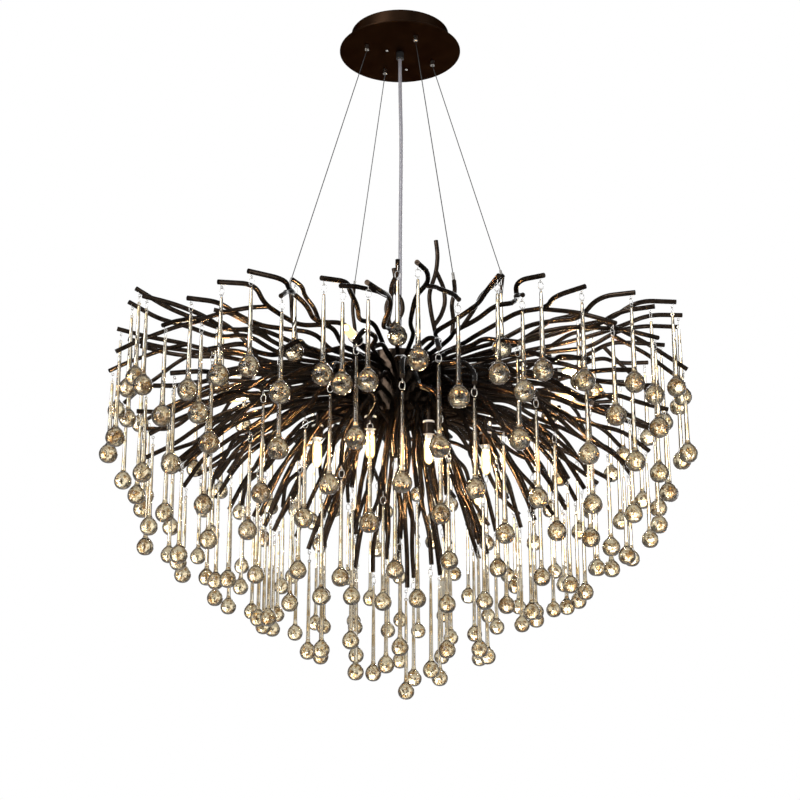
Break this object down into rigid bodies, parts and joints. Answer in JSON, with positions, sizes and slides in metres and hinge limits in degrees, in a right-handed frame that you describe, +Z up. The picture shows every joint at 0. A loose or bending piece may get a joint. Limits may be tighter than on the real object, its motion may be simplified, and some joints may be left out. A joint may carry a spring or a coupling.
{
  "type": "crystal drop chandelier",
  "caption": "Round ceiling canopy, four wires and a cable carry a burst of dark forked metal rods with small bulbs; clear glass drops hang on rings from the rod tips.",
  "frame": {"origin": "middle of the ceiling bracket's top face, which lies on the ceiling above the canopy's middle", "axes": "+Z up into the ceiling; -Y towards the picture's viewer, +X to the viewer's right"},
  "size_m": [0.9774, 0.9751, 1.1973],
  "materials": {
    "bronze_black": "satin",
    "zinc_steel": "satin",
    "white_plastic": "matte",
    "chrome_screw": "polished",
    "nickel": "satin",
    "steel_wire": "stranded",
    "black_plastic": "matte",
    "clear_cable": "clear",
    "black_nickel": "gloss",
    "ceramic": "satin",
    "bulb_glass": "clear",
    "champagne_glass": "polished"
  },
  "bodies": {
    "frame": {"canopy_can": "bronze_black", "canopy_plate": "bronze_black", "ceiling_bracket": "zinc_steel", "canopy_screws": "zinc_steel", "terminal_block": "white_plastic", "terminal_screws": "chrome_screw", "wire_grips": "nickel", "suspension_wires": "steel_wire", "wire_sockets": "nickel", "cable_gland": "black_plastic", "power_cable": "clear_cable", "hub_core": "black_nickel", "hub_lid": "black_nickel", "hub_gland": "black_plastic", "hub_connector": "white_plastic", "branch_01": "black_nickel", "branch_02": "black_nickel", "branch_03": "black_nickel", "branch_04": "black_nickel", "branch_05": "black_nickel", "branch_06": "black_nickel", "branch_07": "black_nickel", "branch_08": "black_nickel", "branch_09": "black_nickel", "branch_10": "black_nickel", "branch_11": "black_nickel", "branch_12": "black_nickel", "lower_spray": "black_nickel", "lamp_arms": "black_nickel", "lamp_holders": "ceramic", "drop_hooks": "chrome_screw", "drop_rings": "chrome_screw", "rim_drops": "champagne_glass", "edge_drops": "champagne_glass", "shoulder_drops": "champagne_glass", "bowl_drops": "champagne_glass", "under_drops": "champagne_glass", "centre_drops": "champagne_glass", "crown_drops": "champagne_glass"},
    "bulb_01": {"bulb_01": "bulb_glass"},
    "bulb_02": {"bulb_02": "bulb_glass"},
    "bulb_03": {"bulb_03": "bulb_glass"},
    "bulb_04": {"bulb_04": "bulb_glass"},
    "bulb_05": {"bulb_05": "bulb_glass"},
    "bulb_06": {"bulb_06": "bulb_glass"},
    "bulb_07": {"bulb_07": "bulb_glass"},
    "bulb_08": {"bulb_08": "bulb_glass"},
    "bulb_09": {"bulb_09": "bulb_glass"},
    "bulb_10": {"bulb_10": "bulb_glass"},
    "bulb_11": {"bulb_11": "bulb_glass"},
    "swing_drop_01": {"swing_drop_01": "champagne_glass"},
    "swing_drop_02": {"swing_drop_02": "champagne_glass"},
    "swing_drop_03": {"swing_drop_03": "champagne_glass"},
    "swing_drop_04": {"swing_drop_04": "champagne_glass"},
    "swing_drop_05": {"swing_drop_05": "champagne_glass"},
    "swing_drop_06": {"swing_drop_06": "champagne_glass"},
    "swing_drop_07": {"swing_drop_07": "champagne_glass"},
    "swing_drop_08": {"swing_drop_08": "champagne_glass"},
    "swing_drop_09": {"swing_drop_09": "champagne_glass"},
    "swing_drop_10": {"swing_drop_10": "champagne_glass"}
  },
  "joints": [
    {"name": "bulb_01_pull", "type": "slide", "parent": "frame", "child": "bulb_01", "axis": [0.9659, 0.2588, 0], "range_m": [0, 0.014]},
    {"name": "bulb_02_pull", "type": "slide", "parent": "frame", "child": "bulb_02", "axis": [0.2588, 0.9659, 0], "range_m": [0, 0.014]},
    {"name": "bulb_03_pull", "type": "slide", "parent": "frame", "child": "bulb_03", "axis": [-0.9659, 0.2588, 0], "range_m": [0, 0.014]},
    {"name": "bulb_04_pull", "type": "slide", "parent": "frame", "child": "bulb_04", "axis": [-0.9659, -0.2588, 0], "range_m": [0, 0.014]},
    {"name": "bulb_05_pull", "type": "slide", "parent": "frame", "child": "bulb_05", "axis": [-0.2588, -0.9659, 0], "range_m": [0, 0.014]},
    {"name": "bulb_06_pull", "type": "slide", "parent": "frame", "child": "bulb_06", "axis": [0.9659, -0.2588, 0], "range_m": [0, 0.014]},
    {"name": "bulb_07_pull", "type": "slide", "parent": "frame", "child": "bulb_07", "axis": [0, 0, -1], "range_m": [0, 0.014]},
    {"name": "bulb_08_pull", "type": "slide", "parent": "frame", "child": "bulb_08", "axis": [0, 0, -1], "range_m": [0, 0.014]},
    {"name": "bulb_09_pull", "type": "slide", "parent": "frame", "child": "bulb_09", "axis": [0, 0, -1], "range_m": [0, 0.014]},
    {"name": "bulb_10_pull", "type": "slide", "parent": "frame", "child": "bulb_10", "axis": [0, 0, -1], "range_m": [0, 0.014]},
    {"name": "bulb_11_pull", "type": "slide", "parent": "frame", "child": "bulb_11", "axis": [0, 0, -1], "range_m": [0, 0.014]},
    {"name": "swing_drop_01_swing", "type": "hinge", "parent": "frame", "child": "swing_drop_01", "pos_m": [0.44569, 0.14771, -0.60422], "axis": [0.309, -0.9511, 0], "range_deg": [-5, 25]},
    {"name": "swing_drop_02_swing", "type": "hinge", "parent": "frame", "child": "swing_drop_02", "pos_m": [0.30715, 0.34599, -0.63425], "axis": [0.7431, -0.6691, 0], "range_deg": [-5, 25]},
    {"name": "swing_drop_03_swing", "type": "hinge", "parent": "frame", "child": "swing_drop_03", "pos_m": [-0.34119, 0.31532, -0.66573], "axis": [0.6691, 0.7431, 0], "range_deg": [-5, 25]},
    {"name": "swing_drop_04_swing", "type": "hinge", "parent": "frame", "child": "swing_drop_04", "pos_m": [-0.45699, 0.08744, -0.59452], "axis": [0.2079, 0.9781, 0], "range_deg": [-5, 25]},
    {"name": "swing_drop_05_swing", "type": "hinge", "parent": "frame", "child": "swing_drop_05", "pos_m": [-0.43336, -0.15579, -0.6004], "axis": [-0.309, 0.9511, 0], "range_deg": [-5, 25]},
    {"name": "swing_drop_06_swing", "type": "hinge", "parent": "frame", "child": "swing_drop_06", "pos_m": [-0.30925, -0.34232, -0.65852], "axis": [-0.7431, 0.6691, 0], "range_deg": [-5, 25]},
    {"name": "swing_drop_07_swing", "type": "hinge", "parent": "frame", "child": "swing_drop_07", "pos_m": [-0.10709, -0.44665, -0.6667], "axis": [-0.9781, 0.2079, 0], "range_deg": [-5, 25]},
    {"name": "swing_drop_08_swing", "type": "hinge", "parent": "frame", "child": "swing_drop_08", "pos_m": [0.13675, -0.44866, -0.66603], "axis": [-0.9511, -0.309, 0], "range_deg": [-5, 25]},
    {"name": "swing_drop_09_swing", "type": "hinge", "parent": "frame", "child": "swing_drop_09", "pos_m": [0.34854, -0.30747, -0.63685], "axis": [-0.6691, -0.7431, 0], "range_deg": [-5, 25]},
    {"name": "swing_drop_10_swing", "type": "hinge", "parent": "frame", "child": "swing_drop_10", "pos_m": [0.46347, -0.08777, -0.5952], "axis": [-0.2079, -0.9781, 0], "range_deg": [-5, 25]}
  ]
}
